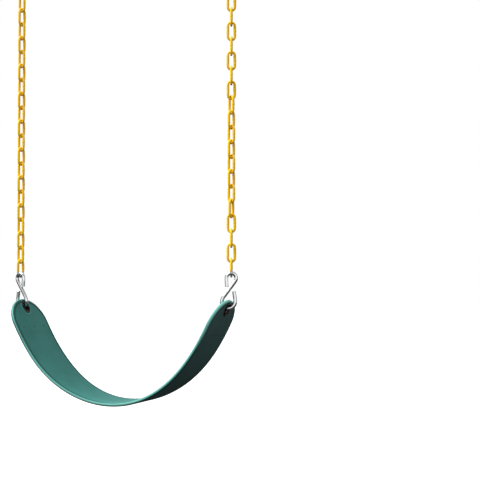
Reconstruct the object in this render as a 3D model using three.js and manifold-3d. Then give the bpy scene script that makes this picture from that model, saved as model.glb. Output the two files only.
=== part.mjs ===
// Belt swing seat: a rubber belt with steel-stiffened ends, hung by two S-hooks from two plastic-dipped
// chains, each chain ending in a spring snap hook.
//
// Millimetres, +Z up. X runs across the seat from the left chain to the right one, Y is the way the
// swing travels. The origin lies midway between the two points that the snap hooks hang from.

import * as THREE from 'three';
import { mergeVertices } from 'three/addons/utils/BufferGeometryUtils.js';
import Module from 'manifold-3d';

const wasm = await Module();
wasm.setup();

// ---------------------------------------------------------------- driving dimensions

const GAP = 0.3; // clearance between pieces that touch
const CUTTER_LENGTH = 30; // bars that drill holes right through
const ROUND_SIDES = 20; // flats round the eyelets and the holes that take them

const BELT_LENGTH = 673;
const BELT_THICKNESS = 7;
const BELT_WAIST_WIDTH = 119;
const BELT_END_WIDTH = 146;
const WAIST_REACH = 206; // distance from the middle at which the belt has its full end width
const TIP_ROUNDING = 54; // length over which each end rounds off to its tip
const TIP_BLUNTNESS = 4; // half width that is left at the very tip
const END_SLOPE = THREE.MathUtils.degToRad(66); // how steeply the ends of the hanging belt rise
const HOLE_FROM_TIP = 18.5;

const PLATE_THICKNESS = 2;
const PLATE_RING_RADIUS = 15.5; // round end of the plate, about the hole
const PLATE_FLARE = 0.8; // half width gained for each millimetre below the hole
const PLATE_END = 74; // distance from the belt's tip to the plate's wide end
const PLATE_CORNER = 10;
const PIN_HOLE_RADIUS = 1.5;
const PIN_HOLES_FROM_TIP = 64.5;
const PIN_HOLE_SPACING = 45;

const EYELET_BORE_RADIUS = 10;
const EYELET_BARREL_RADIUS = 12;
const EYELET_FLANGE_RADIUS = 15;
const EYELET_FLANGE = 1;
const EYELET_LIP_RADIUS = 14;
const EYELET_LIP = 0.8;
const EYELET_BORE_CHAMFER = 0.6;
const EYELET_EDGE_CHAMFER = 0.4;

const HOOK_WIRE = 8;
const HOOK_HEIGHT = 79;
const HOOK_UPPER_RADIUS = 9.8; // to the middle of the wire
const HOOK_LOWER_RADIUS = 13.5;
const HOOK_OFFSET = 5.6; // how far the lower loop lies inboard of the upper one
const HOOK_UPPER_TAIL = 17.5; // each tail's end, above or below the middle of its loop
const HOOK_LOWER_TAIL = 21;
const HOOK_UPPER_CLOSING = 0.8; // how far each tail leans in
const HOOK_LOWER_CLOSING = 2.5;
const HOOK_TURN = 20; // degrees that each S-hook is turned about the chain, mirrored left to right
const SEATED_DEPTH = 15.6; // middle of the lower loop to middle of the eyelet, down along the belt
const SEATED_OFFSET = -0.7; // and square to the belt, counted towards the sitting face

const LINKS_PER_SIDE = 21;
const LINK_WIRE = 5.2; // steel wire with its coating
const LINK_LENGTH = 40.9;
const LINK_WIDTH = 19.4;
const LINK_PLAY = 0.5; // gap in the line of pull between one link and the next
const EIGHTH_TURN = 45; // the right chain is wound up by two eighth turns on its way up
const EIGHTH_TURN_LINKS = 3; // links that share one eighth turn
const FIRST_TURN_LEVEL = 3; // counted up from the seat
const SECOND_TURN_LEVEL = 11;

const SNAP_WIRE = 7;
const SNAP_HEIGHT = 80;
const SNAP_NARROW_RADIUS = 9.5; // to the middle of the wire
const SNAP_WIDE_RADIUS = 15.25;
const SNAP_NECK = { across: 9, down: 17 }; // where the straight legs begin
const SNAP_NOSE_ANGLE = 213; // degrees round the narrow loop at which the nose ends
const GATE_PIVOT_DOWN = 42.5;
const GATE_TONGUE = 2.8;
const GATE_TONGUE_END = 2.4; // the tongue ends this far above the pivot
const GATE_FORK_END = 4.6; // and the fork's slot this far, so that it clears the tongue as it swings
const GATE_PIN_RADIUS = 1.2;
const GATE_PIN_PLAY = 0.1; // running clearance all round
const GATE_SPRING_RADIUS = 1.3;
const GATE_SPRING_WIRE = 0.5;
const GATE_SPRING_TURNS = 5;
const GATE_SPRING_LENGTH = 8.5;
const LATCH = { across: 3.4, outward: 0.4, length: 6, above: 1.6 }; // flat tongue at the gate's free end
const LATCH_SHOULDER = 3.2; // the round bar ends this far short of the nose
const CATCH_SLOT = { outward: 1.7, above: 1.5, length: 8 }; // slot in the nose that takes the latch

// ---------------------------------------------------------------- materials

const plain = (color, roughness, metalness) =>
  new THREE.MeshStandardMaterial({ color, roughness, metalness });

const beltRubber = plain(0x2f6f68, 0.6, 0);
const plateSteel = plain(0x8f9193, 0.45, 1);
const eyeletSteel = plain(0x1f1a1b, 0.4, 0.8);
const chainCoating = plain(0xf2b400, 0.35, 0);
const hookChrome = plain(0xd9dcdf, 0.15, 1);
const snapSteel = plain(0xbfc2c6, 0.25, 1);
const springSteel = plain(0x77797c, 0.35, 1);

// ---------------------------------------------------------------- solids and booleans

function mergedPositions(geometry) {
  const bare = geometry.clone();
  bare.deleteAttribute('normal');
  bare.deleteAttribute('uv');
  return mergeVertices(bare, 1e-4);
}

function toSolid(geometry) {
  const merged = mergedPositions(geometry);
  return new wasm.Manifold(new wasm.Mesh({
    numProp: 3,
    vertProperties: new Float32Array(merged.attributes.position.array),
    triVerts: new Uint32Array(merged.index.array),
  }));
}

function toGeometry(solid) {
  const mesh = solid.getMesh();
  const geometry = new THREE.BufferGeometry();
  geometry.setAttribute('position', new THREE.BufferAttribute(new Float32Array(mesh.vertProperties), 3));
  geometry.setIndex(new THREE.BufferAttribute(new Uint32Array(mesh.triVerts), 1));
  geometry.computeVertexNormals();
  return geometry;
}

function cut(geometry, ...tools) {
  let solid = toSolid(geometry);
  for (const tool of tools) {
    solid = solid.subtract(toSolid(tool));
  }
  return toGeometry(solid);
}

function box(width, depth, height, x, y, z) {
  return new THREE.BoxGeometry(width, depth, height).translate(x, y, z);
}

// A round bar with its middle at a point, lying along a direction.
function roundBar(radius, length, centre, direction, sides = 16) {
  const bar = new THREE.CylinderGeometry(radius, radius, length, sides);
  const turn = new THREE.Quaternion().setFromUnitVectors(new THREE.Vector3(0, 1, 0), direction);
  return bar.applyQuaternion(turn).translate(centre.x, centre.y, centre.z);
}

// ---------------------------------------------------------------- bent wire

// Points in the XZ plane round a circle, angles in degrees, first and last included.
function arcPoints(x, z, radius, from, to, count) {
  const points = [];
  for (let i = 0; i <= count; i++) {
    const angle = THREE.MathUtils.degToRad(from + (to - from) * i / count);
    points.push(new THREE.Vector3(x + radius * Math.cos(angle), 0, z + radius * Math.sin(angle)));
  }
  return points;
}

function bentWire(points, diameter, steps, sides) {
  const section = new THREE.Shape().absarc(0, 0, diameter / 2, 0, 2 * Math.PI);
  const path = new THREE.CatmullRomCurve3(points, false, 'centripetal');
  return new THREE.ExtrudeGeometry(section, {
    steps,
    curveSegments: sides / 2, // the full circle gets twice as many
    extrudePath: path,
    bevelEnabled: false,
  });
}

// ---------------------------------------------------------------- chain

// A link stands upright in the XZ plane: a ring whose top and bottom halves are drawn apart.
function linkGeometry() {
  const ringRadius = (LINK_WIDTH - LINK_WIRE) / 2;
  const stretch = (LINK_LENGTH - LINK_WIDTH) / 2;
  const around = 12;
  const link = new THREE.TorusGeometry(ringRadius, LINK_WIRE / 2, 6, around);
  link.rotateZ(Math.PI / around);
  link.rotateX(Math.PI / 2);
  const position = link.attributes.position;
  for (let i = 0; i < position.count; i++) {
    const z = position.getZ(i);
    position.setZ(i, z + Math.sign(z) * stretch);
  }
  return link;
}

const linkPitch = LINK_LENGTH - 2 * LINK_WIRE - LINK_PLAY;
const linkCrown = (LINK_LENGTH - LINK_WIRE) / 2; // from a link's middle to the middle of its end wire

const snapBottomZ = 1.5 * SNAP_WIRE - SNAP_HEIGHT; // middle of the wire at the foot of the snap hook
const firstLinkZ = snapBottomZ + (SNAP_WIRE + LINK_WIRE) / 2 + LINK_PLAY - linkCrown;
const lastLinkZ = firstLinkZ - (LINKS_PER_SIDE - 1) * linkPitch;

// How far the chain is turned about its own line, in degrees, at a level counted up from the seat.
function chainTurn(side, level) {
  if (side.name === 'left') {
    return -HOOK_TURN;
  }
  const wound = (start) => EIGHTH_TURN * THREE.MathUtils.clamp((level - start) / EIGHTH_TURN_LINKS, 0, 1);
  return HOOK_TURN - wound(FIRST_TURN_LEVEL) - wound(SECOND_TURN_LEVEL);
}

// ---------------------------------------------------------------- the curve of the belt

const halfLength = BELT_LENGTH / 2;
const slopeAt = (s) => END_SLOPE * Math.sin(Math.PI * s / BELT_LENGTH);

// Place on the belt's middle surface, s measured along it from the middle, z from its lowest point.
function beltCurve(s) {
  const pieces = 60;
  const step = s / pieces;
  let x = 0;
  let z = 0;
  for (let i = 0; i < pieces; i++) {
    const slope = slopeAt((i + 0.5) * step);
    x += Math.cos(slope) * step;
    z += Math.sin(slope) * step;
  }
  return { x, z };
}

// Half width of the belt at a distance s from its middle.
function beltHalfWidth(s) {
  const reach = Math.min(Math.abs(s) / WAIST_REACH, 1);
  const swell = (1 - Math.cos(Math.PI * reach)) / 2;
  const full = THREE.MathUtils.lerp(BELT_WAIST_WIDTH, BELT_END_WIDTH, swell) / 2;
  const inward = Math.min((halfLength - Math.abs(s)) / TIP_ROUNDING, 1);
  return Math.max(full * Math.sqrt(1 - (1 - inward) ** 2), TIP_BLUNTNESS);
}

// Half width of the steel plate in each end, the round end about the hole and the wide end below it.
function plateHalfWidth(s) {
  const fromTip = halfLength - Math.abs(s);
  const below = fromTip - HOLE_FROM_TIP;
  if (below < 0) {
    return Math.sqrt(Math.max(PLATE_RING_RADIUS ** 2 - below ** 2, TIP_BLUNTNESS ** 2));
  }
  const corner = Math.max(fromTip - (PLATE_END - PLATE_CORNER), 0) / PLATE_CORNER;
  const rounding = PLATE_CORNER * (1 - Math.sqrt(Math.max(1 - corner ** 2, 0)));
  return PLATE_RING_RADIUS + PLATE_FLARE * below - rounding;
}

const holeAlong = halfLength - HOLE_FROM_TIP;
const holeSlope = slopeAt(holeAlong);

// The eyelet reaches a little further out of the belt on the outer face, where its lip is rolled over.
const eyeletInnerReach = BELT_THICKNESS / 2 + GAP + EYELET_FLANGE;
const eyeletOuterReach = eyeletInnerReach + GAP + EYELET_LIP;

// The S-hook hangs in the last link, and the eyelet sits down into the hook's lower loop.
const hookUpperZ = lastLinkZ - linkCrown + (LINK_WIRE + HOOK_WIRE) / 2 + LINK_PLAY - HOOK_UPPER_RADIUS;
const hookLowerZ = hookUpperZ + HOOK_UPPER_RADIUS - (HOOK_HEIGHT - HOOK_WIRE) + HOOK_LOWER_RADIUS;
const holeZ = hookLowerZ - SEATED_DEPTH * Math.sin(holeSlope) + SEATED_OFFSET * Math.cos(holeSlope);
const loopToHole = SEATED_DEPTH * Math.cos(holeSlope) + SEATED_OFFSET * Math.sin(holeSlope);
const hookOffsetX = HOOK_OFFSET * Math.cos(THREE.MathUtils.degToRad(HOOK_TURN));
const hookOffsetY = -HOOK_OFFSET * Math.sin(THREE.MathUtils.degToRad(HOOK_TURN)); // alike on both sides
const holeX = beltCurve(holeAlong).x;
const chainX = holeX + loopToHole + hookOffsetX;
const beltLowestZ = holeZ - beltCurve(holeAlong).z;

// ---------------------------------------------------------------- belt and what is moulded into it

// A bar is drawn with its section in XY and its length along Z from 0 to 1, then laid along the belt's
// curve: x becomes a share of the half width, y an offset from the middle surface.
function layAlongBelt(bar, from, to, halfWidth) {
  const position = bar.attributes.position;
  const middle = (from + to) / 2;
  const reach = (to - from) / 2;
  for (let i = 0; i < position.count; i++) {
    const s = middle + reach * Math.sin(Math.PI * (position.getZ(i) - 0.5));
    const offset = position.getY(i);
    const slope = slopeAt(s);
    const place = beltCurve(s);
    position.setXYZ(
      i,
      place.x - offset * Math.sin(slope),
      position.getX(i) * halfWidth(s),
      beltLowestZ + place.z + offset * Math.cos(slope),
    );
  }
  return bar;
}

// Rectangular section, 2 across and as thick as asked, with its long edges rounded off.
function ribbonSection(thickness, rounding) {
  const half = thickness / 2;
  return new THREE.Shape([
    new THREE.Vector2(-1, -half + rounding.up),
    new THREE.Vector2(-1 + rounding.across, -half),
    new THREE.Vector2(0, -half),
    new THREE.Vector2(1 - rounding.across, -half),
    new THREE.Vector2(1, -half + rounding.up),
    new THREE.Vector2(1, half - rounding.up),
    new THREE.Vector2(1 - rounding.across, half),
    new THREE.Vector2(0, half),
    new THREE.Vector2(-1 + rounding.across, half),
    new THREE.Vector2(-1, half - rounding.up),
  ]);
}

function ribbon(thickness, rounding, steps, from, to, halfWidth) {
  const section = ribbonSection(thickness, rounding);
  const bar = new THREE.ExtrudeGeometry(section, { depth: 1, steps, bevelEnabled: false });
  return layAlongBelt(bar, from, to, halfWidth);
}

// Where the eyelet sits at one end, and which way its bore points, towards the sitting face.
function holeFrame(side) {
  return {
    centre: new THREE.Vector3(side.sign * holeX, 0, holeZ),
    inward: new THREE.Vector3(-side.sign * Math.sin(holeSlope), 0, Math.cos(holeSlope)),
  };
}

function plateShape(side, room) {
  const near = halfLength - PLATE_END - room;
  const far = halfLength - (HOLE_FROM_TIP - PLATE_RING_RADIUS) + room;
  const [from, to] = side.sign > 0 ? [near, far] : [-far, -near];
  const sharp = { across: 0.05, up: 0.2 };
  const squareOff = Math.hypot(1, PLATE_FLARE); // across the belt for each millimetre square to the flared edge
  const thickness = PLATE_THICKNESS + 2 * room;
  return ribbon(thickness, sharp, 16, from, to, (s) => plateHalfWidth(s) + room * squareOff);
}

function endPlate(side) {
  const { centre, inward } = holeFrame(side);
  const hole = roundBar(EYELET_BARREL_RADIUS + GAP, CUTTER_LENGTH, centre, inward, ROUND_SIDES);
  return cut(plateShape(side, 0), hole);
}

function pinHoles(side) {
  const along = side.sign * (halfLength - PIN_HOLES_FROM_TIP);
  const slope = slopeAt(along);
  const place = beltCurve(along);
  const inward = new THREE.Vector3(-Math.sin(slope), 0, Math.cos(slope));
  const depth = BELT_THICKNESS / 2;
  return [-1, 0, 1].map((row) => {
    const centre = new THREE.Vector3(place.x, row * PIN_HOLE_SPACING, beltLowestZ + place.z);
    centre.addScaledVector(inward, depth / 2 + 0.5);
    return roundBar(PIN_HOLE_RADIUS, depth, centre, inward, 8);
  });
}

function seatBelt(sides) {
  const rounded = { across: 0.03, up: 1.8 };
  const belt = ribbon(BELT_THICKNESS, rounded, 48, -halfLength, halfLength, beltHalfWidth);
  const tools = sides.flatMap((side) => {
    const { centre, inward } = holeFrame(side);
    const hole = roundBar(EYELET_BARREL_RADIUS + GAP, CUTTER_LENGTH, centre, inward, ROUND_SIDES);
    return [hole, plateShape(side, GAP), ...pinHoles(side)];
  });
  return cut(belt, ...tools);
}

// ---------------------------------------------------------------- eyelets

// Turned about its own Y axis, which is laid along the bore with +Y towards the sitting face.
function eyelet() {
  const top = eyeletInnerReach;
  const bottom = -eyeletOuterReach;
  const profile = [
    [EYELET_BORE_RADIUS, bottom + EYELET_BORE_CHAMFER],
    [EYELET_BORE_RADIUS + EYELET_BORE_CHAMFER, bottom],
    [EYELET_LIP_RADIUS, bottom],
    [EYELET_LIP_RADIUS, bottom + EYELET_LIP],
    [EYELET_BARREL_RADIUS, bottom + EYELET_LIP],
    [EYELET_BARREL_RADIUS, top - EYELET_FLANGE],
    [EYELET_FLANGE_RADIUS, top - EYELET_FLANGE],
    [EYELET_FLANGE_RADIUS, top - EYELET_EDGE_CHAMFER],
    [EYELET_FLANGE_RADIUS - EYELET_EDGE_CHAMFER, top],
    [EYELET_BORE_RADIUS + EYELET_BORE_CHAMFER, top],
    [EYELET_BORE_RADIUS, top - EYELET_BORE_CHAMFER],
    [EYELET_BORE_RADIUS, bottom + EYELET_BORE_CHAMFER],
  ];
  return new THREE.LatheGeometry(profile.map(([r, y]) => new THREE.Vector2(r, y)), ROUND_SIDES);
}

function eyeletWasher() {
  const inner = EYELET_BARREL_RADIUS + GAP;
  const bottom = -eyeletInnerReach;
  const profile = [
    [inner, bottom],
    [EYELET_FLANGE_RADIUS, bottom],
    [EYELET_FLANGE_RADIUS, bottom + EYELET_FLANGE],
    [inner, bottom + EYELET_FLANGE],
    [inner, bottom],
  ];
  return new THREE.LatheGeometry(profile.map(([r, y]) => new THREE.Vector2(r, y)), ROUND_SIDES);
}

// ---------------------------------------------------------------- S-hook

// Drawn in the XZ plane with +X outboard and the chain on the Z axis.
function sHook() {
  const upper = new THREE.Vector2(0, hookUpperZ);
  const lower = new THREE.Vector2(-HOOK_OFFSET, hookLowerZ);
  const apart = lower.clone().sub(upper);
  const radii = HOOK_UPPER_RADIUS + HOOK_LOWER_RADIUS;
  const shank = Math.sqrt(apart.lengthSq() - radii ** 2);
  const heading = THREE.MathUtils.radToDeg(Math.atan2(apart.y, apart.x) - Math.atan2(radii, shank));
  const leaves = heading + 90; // angle round the upper loop at which the straight shank begins
  const arrives = heading - 90 + 360; // angle round the lower loop at which it ends
  const upperArc = arcPoints(upper.x, upper.y, HOOK_UPPER_RADIUS, 180, leaves, 9);
  const lowerArc = arcPoints(lower.x, lower.y, HOOK_LOWER_RADIUS, arrives, 360, 8);
  const shankMiddle = upperArc.at(-1).clone().lerp(lowerArc[0], 0.5);
  const upperTail = new THREE.Vector3(-HOOK_UPPER_RADIUS + HOOK_UPPER_CLOSING, 0, upper.y - HOOK_UPPER_TAIL);
  const lowerTailX = lower.x + HOOK_LOWER_RADIUS - HOOK_LOWER_CLOSING;
  const lowerTail = new THREE.Vector3(lowerTailX, 0, lower.y + HOOK_LOWER_TAIL);
  const points = [upperTail, ...upperArc, shankMiddle, ...lowerArc, lowerTail];
  return bentWire(points, HOOK_WIRE, 32, 10);
}

// ---------------------------------------------------------------- snap hook

// Drawn in the XZ plane with the gate on the -X side and the hanging point at the origin.
const narrowZ = SNAP_WIRE / 2 - SNAP_NARROW_RADIUS;
const wideZ = snapBottomZ + SNAP_WIDE_RADIUS;

function gateLine(down) {
  const top = new THREE.Vector2(-SNAP_NECK.across, -SNAP_NECK.down);
  const foot = new THREE.Vector2(-SNAP_WIDE_RADIUS, wideZ);
  const share = (down - SNAP_NECK.down) / (-foot.y - SNAP_NECK.down);
  return new THREE.Vector3(THREE.MathUtils.lerp(top.x, foot.x, share), 0, -down);
}

const gatePivot = gateLine(GATE_PIVOT_DOWN);
const gateHeading = gateLine(0).sub(gatePivot).normalize();
const gateTilt = Math.atan2(gateHeading.x, gateHeading.z);
const noseEnd = arcPoints(0, narrowZ, SNAP_NARROW_RADIUS, 0, SNAP_NOSE_ANGLE, 1).at(-1);
const gateLength = noseEnd.clone().sub(gatePivot).dot(gateHeading);

// Turns a piece drawn about the pivot with the gate upright so that it lies along the closed gate.
function onGate(geometry) {
  return geometry.rotateY(gateTilt).translate(gatePivot.x, 0, gatePivot.z);
}

function snapHook() {
  const start = gateLine(GATE_PIVOT_DOWN - GATE_TONGUE_END);
  const leg = new THREE.Vector3(SNAP_NECK.across, 0, -SNAP_NECK.down);
  const points = [
    start,
    gateLine(GATE_PIVOT_DOWN + 6),
    ...arcPoints(0, wideZ, SNAP_WIDE_RADIUS, 180, 360, 10),
    leg.clone().lerp(new THREE.Vector3(SNAP_WIDE_RADIUS, 0, wideZ), 0.5),
    leg,
    ...arcPoints(0, narrowZ, SNAP_NARROW_RADIUS, -35, SNAP_NOSE_ANGLE, 10),
  ];
  const wire = bentWire(points, SNAP_WIRE, 40, 10);
  const cheek = (SNAP_WIRE - GATE_TONGUE) / 2;
  const besideTongue = [-1, 1].map((face) =>
    onGate(box(2 * SNAP_WIRE, cheek, SNAP_WIRE + 2 * GAP, 0, face * (GATE_TONGUE + cheek) / 2, 0)));
  const pinHole = roundBar(GATE_PIN_RADIUS + GATE_PIN_PLAY, CUTTER_LENGTH, gatePivot, new THREE.Vector3(0, 1, 0));
  const slotUp = gateLength + CATCH_SLOT.above;
  const slot = box(SNAP_WIRE, GATE_TONGUE + 2 * GAP, CATCH_SLOT.length, CATCH_SLOT.outward, 0, slotUp);
  return cut(wire, ...besideTongue, pinHole, onGate(slot));
}

function snapGate() {
  const shoulder = gateLength - LATCH_SHOULDER;
  const bar = new THREE.CylinderGeometry(SNAP_WIRE / 2, SNAP_WIRE / 2, shoulder, 12);
  bar.rotateX(Math.PI / 2).translate(0, 0, shoulder / 2);
  const foot = new THREE.SphereGeometry(SNAP_WIRE / 2, 12, 8).rotateX(Math.PI / 2);
  const latch = box(LATCH.across, GATE_TONGUE, LATCH.length, LATCH.outward, 0, shoulder + LATCH.above);
  const joined = toGeometry(toSolid(bar).add(toSolid(foot)).add(toSolid(latch)));
  const across = new THREE.Vector3(0, 1, 0);
  const slot = box(20, GATE_TONGUE + 2 * GAP, GATE_FORK_END + 10, 0, 0, (GATE_FORK_END - 10) / 2);
  const pinHole = roundBar(GATE_PIN_RADIUS + GATE_PIN_PLAY, CUTTER_LENGTH, new THREE.Vector3(), across);
  const springWell = new THREE.CylinderGeometry(
    GATE_SPRING_RADIUS + GATE_SPRING_WIRE, GATE_SPRING_RADIUS + GATE_SPRING_WIRE, 12, 12);
  springWell.rotateX(Math.PI / 2).translate(0, 0, GATE_FORK_END + 5);
  return onGate(cut(joined, slot, pinHole, springWell));
}

function gatePin() {
  return roundBar(GATE_PIN_RADIUS, SNAP_WIRE - 0.4, gatePivot, new THREE.Vector3(0, 1, 0), 12);
}

function gateSpring() {
  const bottom = GATE_FORK_END + 0.5;
  const points = [];
  for (let i = 0; i <= GATE_SPRING_TURNS * 8; i++) {
    const angle = i * Math.PI / 4;
    points.push(new THREE.Vector3(
      GATE_SPRING_RADIUS * Math.cos(angle),
      GATE_SPRING_RADIUS * Math.sin(angle),
      bottom + i * GATE_SPRING_LENGTH / (GATE_SPRING_TURNS * 8),
    ));
  }
  return onGate(bentWire(points, GATE_SPRING_WIRE, GATE_SPRING_TURNS * 8, 4));
}

// ---------------------------------------------------------------- assembly

const sides = [
  { name: 'left', sign: -1 },
  { name: 'right', sign: 1 },
];

const swing = new THREE.Group();

const seat = new THREE.Group();
seat.position.y = hookOffsetY;
swing.add(seat);

function place(parent, name, geometry, material) {
  const mesh = new THREE.Mesh(geometry, material);
  mesh.name = name;
  parent.add(mesh);
  return mesh;
}

// A group standing on the line of one chain, turned about it by an angle in degrees.
function onChainLine(side, turn) {
  const group = new THREE.Group();
  group.position.x = side.sign * chainX;
  group.rotation.z = THREE.MathUtils.degToRad(turn);
  swing.add(group);
  return group;
}

place(seat, 'seat_belt', seatBelt(sides), beltRubber);

for (const side of sides) {
  place(seat, `end_plate_${side.name}`, endPlate(side), plateSteel);

  const { centre, inward } = holeFrame(side);
  const bore = new THREE.Group();
  bore.position.copy(centre);
  bore.quaternion.setFromUnitVectors(new THREE.Vector3(0, 1, 0), inward);
  seat.add(bore);
  place(bore, `eyelet_${side.name}`, eyelet(), eyeletSteel);
  place(bore, `eyelet_washer_${side.name}`, eyeletWasher(), eyeletSteel);

  const outboard = side.sign > 0 ? HOOK_TURN : 180 - HOOK_TURN;
  place(onChainLine(side, outboard), `s_hook_${side.name}`, sHook(), hookChrome);

  for (let i = 1; i <= LINKS_PER_SIDE; i++) {
    const level = LINKS_PER_SIDE + 1 - i;
    const crossways = level % 2 === 0 ? 0 : 90;
    const group = onChainLine(side, chainTurn(side, level) + crossways);
    const name = `chain_link_${side.name}_${String(i).padStart(2, '0')}`;
    const link = place(group, name, linkGeometry(), chainCoating);
    link.position.z = firstLinkZ - (i - 1) * linkPitch;
  }

  const top = onChainLine(side, chainTurn(side, LINKS_PER_SIDE));
  place(top, `snap_hook_${side.name}`, snapHook(), snapSteel);
  place(top, `snap_gate_${side.name}`, snapGate(), snapSteel);
  place(top, `gate_pin_${side.name}`, gatePin(), snapSteel);
  place(top, `gate_spring_${side.name}`, gateSpring(), springSteel);
}

export default swing;
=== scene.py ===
import math

import bmesh
import bpy
import numpy as np
from mathutils import Matrix, Vector


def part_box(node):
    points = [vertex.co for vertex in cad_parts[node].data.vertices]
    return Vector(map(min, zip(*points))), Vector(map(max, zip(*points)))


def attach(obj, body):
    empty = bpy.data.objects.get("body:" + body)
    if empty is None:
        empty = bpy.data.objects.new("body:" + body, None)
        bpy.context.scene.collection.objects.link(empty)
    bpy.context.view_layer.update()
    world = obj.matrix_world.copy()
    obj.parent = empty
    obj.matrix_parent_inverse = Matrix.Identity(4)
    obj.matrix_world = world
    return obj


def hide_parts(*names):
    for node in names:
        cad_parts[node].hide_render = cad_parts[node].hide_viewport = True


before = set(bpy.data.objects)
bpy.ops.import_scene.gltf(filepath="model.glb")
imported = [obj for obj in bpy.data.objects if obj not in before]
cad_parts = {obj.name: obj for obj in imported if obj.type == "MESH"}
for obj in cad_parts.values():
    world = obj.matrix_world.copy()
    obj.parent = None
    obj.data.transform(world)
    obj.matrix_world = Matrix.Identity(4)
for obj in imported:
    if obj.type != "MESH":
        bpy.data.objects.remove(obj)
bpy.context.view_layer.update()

MM = 0.001

# ------------------------------------------------------------------ sizes in millimetres, from the CAD

SIDES = (("left", -1), ("right", 1))
GAP = 0.3  # clearance between pieces that touch

BELT_LENGTH = 673.0
BELT_THICKNESS = 7.0
BELT_WAIST_WIDTH = 119.0
BELT_END_WIDTH = 146.0
WAIST_REACH = 206.0
TIP_ROUNDING = 54.0
END_SLOPE = math.radians(66)
HOLE_FROM_TIP = 18.5

PLATE_RING_RADIUS = 15.5
PLATE_FLARE = 0.8
PLATE_END = 74.0
PIN_HOLE_RADIUS = 1.5
PIN_HOLES_FROM_TIP = 64.5
PIN_HOLE_SPACING = 45.0

EYELET_BORE_RADIUS = 10.0
EYELET_BARREL_RADIUS = 12.0
EYELET_FLANGE_RADIUS = 15.0
EYELET_LIP_RADIUS = 14.0
EYELET_INNER_REACH = 4.8
EYELET_OUTER_REACH = 5.9

HOOK_WIRE = 8.0
HOOK_HEIGHT = 79.0
HOOK_UPPER_RADIUS = 9.8
HOOK_LOWER_RADIUS = 13.5
HOOK_OFFSET = 5.6
HOOK_UPPER_TAIL = 17.5
HOOK_UPPER_CLOSING = 0.8
HOOK_LOWER_TAIL = 21.0
HOOK_LOWER_CLOSING = 2.5
HOOK_TURN = 20.0

LINKS_PER_SIDE = 21
LINK_WIRE = 5.2
LINK_LENGTH = 40.9
LINK_WIDTH = 19.4
EIGHTH_TURN = 45.0
EIGHTH_TURN_LINKS = 3
FIRST_TURN_LEVEL = 3
SECOND_TURN_LEVEL = 11

SNAP_WIRE = 7.0
SNAP_HEIGHT = 80.0
SNAP_NARROW_RADIUS = 9.5
SNAP_WIDE_RADIUS = 15.25
SNAP_NECK_ACROSS = 9.0
SNAP_NECK_DOWN = 17.0
SNAP_NOSE_ANGLE = 213.0
GATE_PIVOT_DOWN = 42.5
GATE_TONGUE = 2.8
GATE_TONGUE_END = 2.4
GATE_FORK_END = 4.6
GATE_PIN_RADIUS = 1.2
GATE_PIN_PLAY = 0.1
GATE_SPRING_RADIUS = 1.3
GATE_SPRING_WIRE = 0.5
GATE_SPRING_TURNS = 5
GATE_SPRING_LENGTH = 8.5
LATCH_SHOULDER = 3.2  # how far the gate's round bar stops short of the nose
CATCH_SLOT_OUTWARD = 1.7
CATCH_SLOT_ABOVE = 1.5
CATCH_SLOT_LENGTH = 8.0

# The latch is a little smaller than the CAD's, so that the open gate clears the opposite leg.
LATCH_ACROSS = 3.0
LATCH_OUTWARD = 0.2
LATCH_LENGTH = 5.4
LATCH_ABOVE = 1.4

# These are only in the visual model.
BARE_WIRE = 4.5  # the wire under the plastic dip
DIP_ENDS = -5.5  # height in the lowest link at which its dip stops
CUTTER_LENGTH = 20.0  # of what cuts right through the gate
BORE_CUTTER_LENGTH = 24.0


# ------------------------------------------------------------------ materials

def new_material(name):
    """A node material and its Principled shader, with a helper that adds and wires nodes."""
    material = bpy.data.materials.new(name)
    material.use_nodes = True
    tree = material.node_tree
    shader = tree.nodes["Principled BSDF"]

    def node(kind, links=None, **values):
        made = tree.nodes.new(kind)
        for key, value in values.items():
            if hasattr(made, key):
                setattr(made, key, value)
            else:
                made.inputs[key.replace("_", " ")].default_value = value
        for socket, source in (links or {}).items():
            tree.links.new(source, made.inputs[socket])
        return made

    return material, tree, shader, node


def object_coords(node):
    return node("ShaderNodeTexCoord").outputs["Object"]


def noise(node, coords, scale, detail=4.0, roughness=0.55, distortion=0.0):
    made = node("ShaderNodeTexNoise", {"Vector": coords}, Scale=scale, Detail=detail,
                Roughness=roughness, Distortion=distortion)
    return made.outputs["Fac"]


def remap(node, value, low, high, to_low, to_high):
    made = node("ShaderNodeMapRange", {"Value": value}, From_Min=low, From_Max=high,
                To_Min=to_low, To_Max=to_high)
    return made.outputs["Result"]


def mix_colour(node, factor, first, second):
    """Mix of two colours, each a tuple or a socket."""
    made = node("ShaderNodeMix", data_type="RGBA")
    made.id_data.links.new(factor, made.inputs["Factor"])
    sockets = [s for s in made.inputs if s.type == "RGBA"]
    for socket, colour in zip(sockets, (first, second)):
        if isinstance(colour, tuple):
            socket.default_value = (*colour, 1.0)
        else:
            made.id_data.links.new(colour, socket)
    return [s for s in made.outputs if s.type == "RGBA"][0]


def add_bump(node, shader, height, strength, distance):
    made = node("ShaderNodeBump", {"Height": height}, Strength=strength, Distance=distance)
    made.id_data.links.new(made.outputs["Normal"], shader.inputs["Normal"])
    return made


def attribute(node, name):
    return node("ShaderNodeAttribute", attribute_name=name).outputs["Fac"]


def maths(node, operation, first, second=None):
    made = node("ShaderNodeMath", operation=operation)
    for socket, value in zip(made.inputs, (first, second)):
        if value is None:
            continue
        if isinstance(value, (int, float)):
            socket.default_value = value
        else:
            made.id_data.links.new(value, socket)
    return made.outputs["Value"]


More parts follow.
